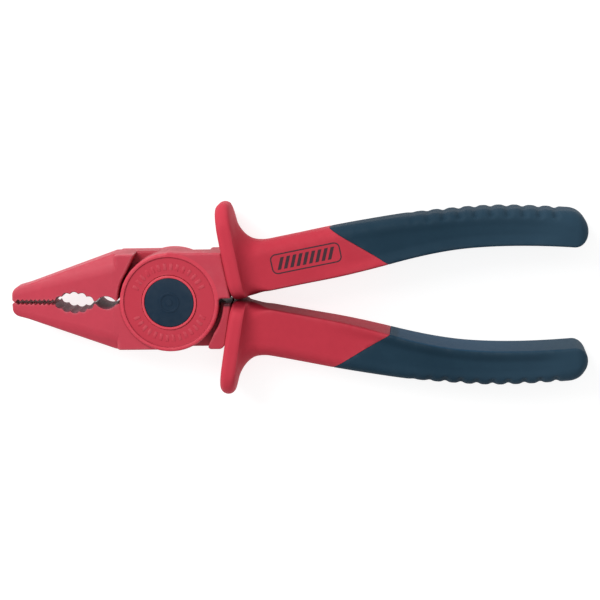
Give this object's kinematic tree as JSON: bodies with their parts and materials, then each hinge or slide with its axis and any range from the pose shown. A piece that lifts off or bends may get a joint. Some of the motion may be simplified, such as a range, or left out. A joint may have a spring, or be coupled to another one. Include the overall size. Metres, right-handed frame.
{
  "type": "insulated plastic lineman pliers",
  "caption": "Insulated plastic combination pliers with flat serrated jaws, a toothed pipe recess, a lap joint on a hollow pin, finger guards and two-colour soft grips.",
  "frame": {"origin": "on the pivot axis, at the flat outer face of the rear pivot cap, level with the rear joint plate", "axes": "+X along the tool from the jaws to the handles, +Y across the jaws towards the front lever's handle, +Z along the pivot axis from the rear cap to the front cap"},
  "size_m": [0.2169, 0.073, 0.0248],
  "materials": {
    "lever_red": "fine moulded texture, glass-fibre polyamide",
    "sleeve_red": "satin",
    "grip_navy": "matt soft-touch",
    "pin_red": "satin",
    "cap_navy": "satin",
    "washer_natural": "smooth"
  },
  "bodies": {
    "front_half": {"front_lever": "lever_red", "upper_handle_sleeve": "sleeve_red", "upper_soft_grip": "grip_navy", "pivot_pin": "pin_red", "pivot_collar": "pin_red", "front_pivot_cap": "cap_navy", "rear_pivot_cap": "cap_navy", "joint_washer": "washer_natural", "pin_head_washer": "washer_natural", "collar_washer": "washer_natural"},
    "rear_half": {"rear_lever": "lever_red", "lower_handle_sleeve": "sleeve_red", "lower_soft_grip": "grip_navy"}
  },
  "joints": [
    {"name": "jaw_pivot", "type": "hinge", "parent": "front_half", "child": "rear_half", "pos_m": [0, 0, 0.01], "axis": [0, 0, -1], "range_deg": [0, 50]}
  ]
}
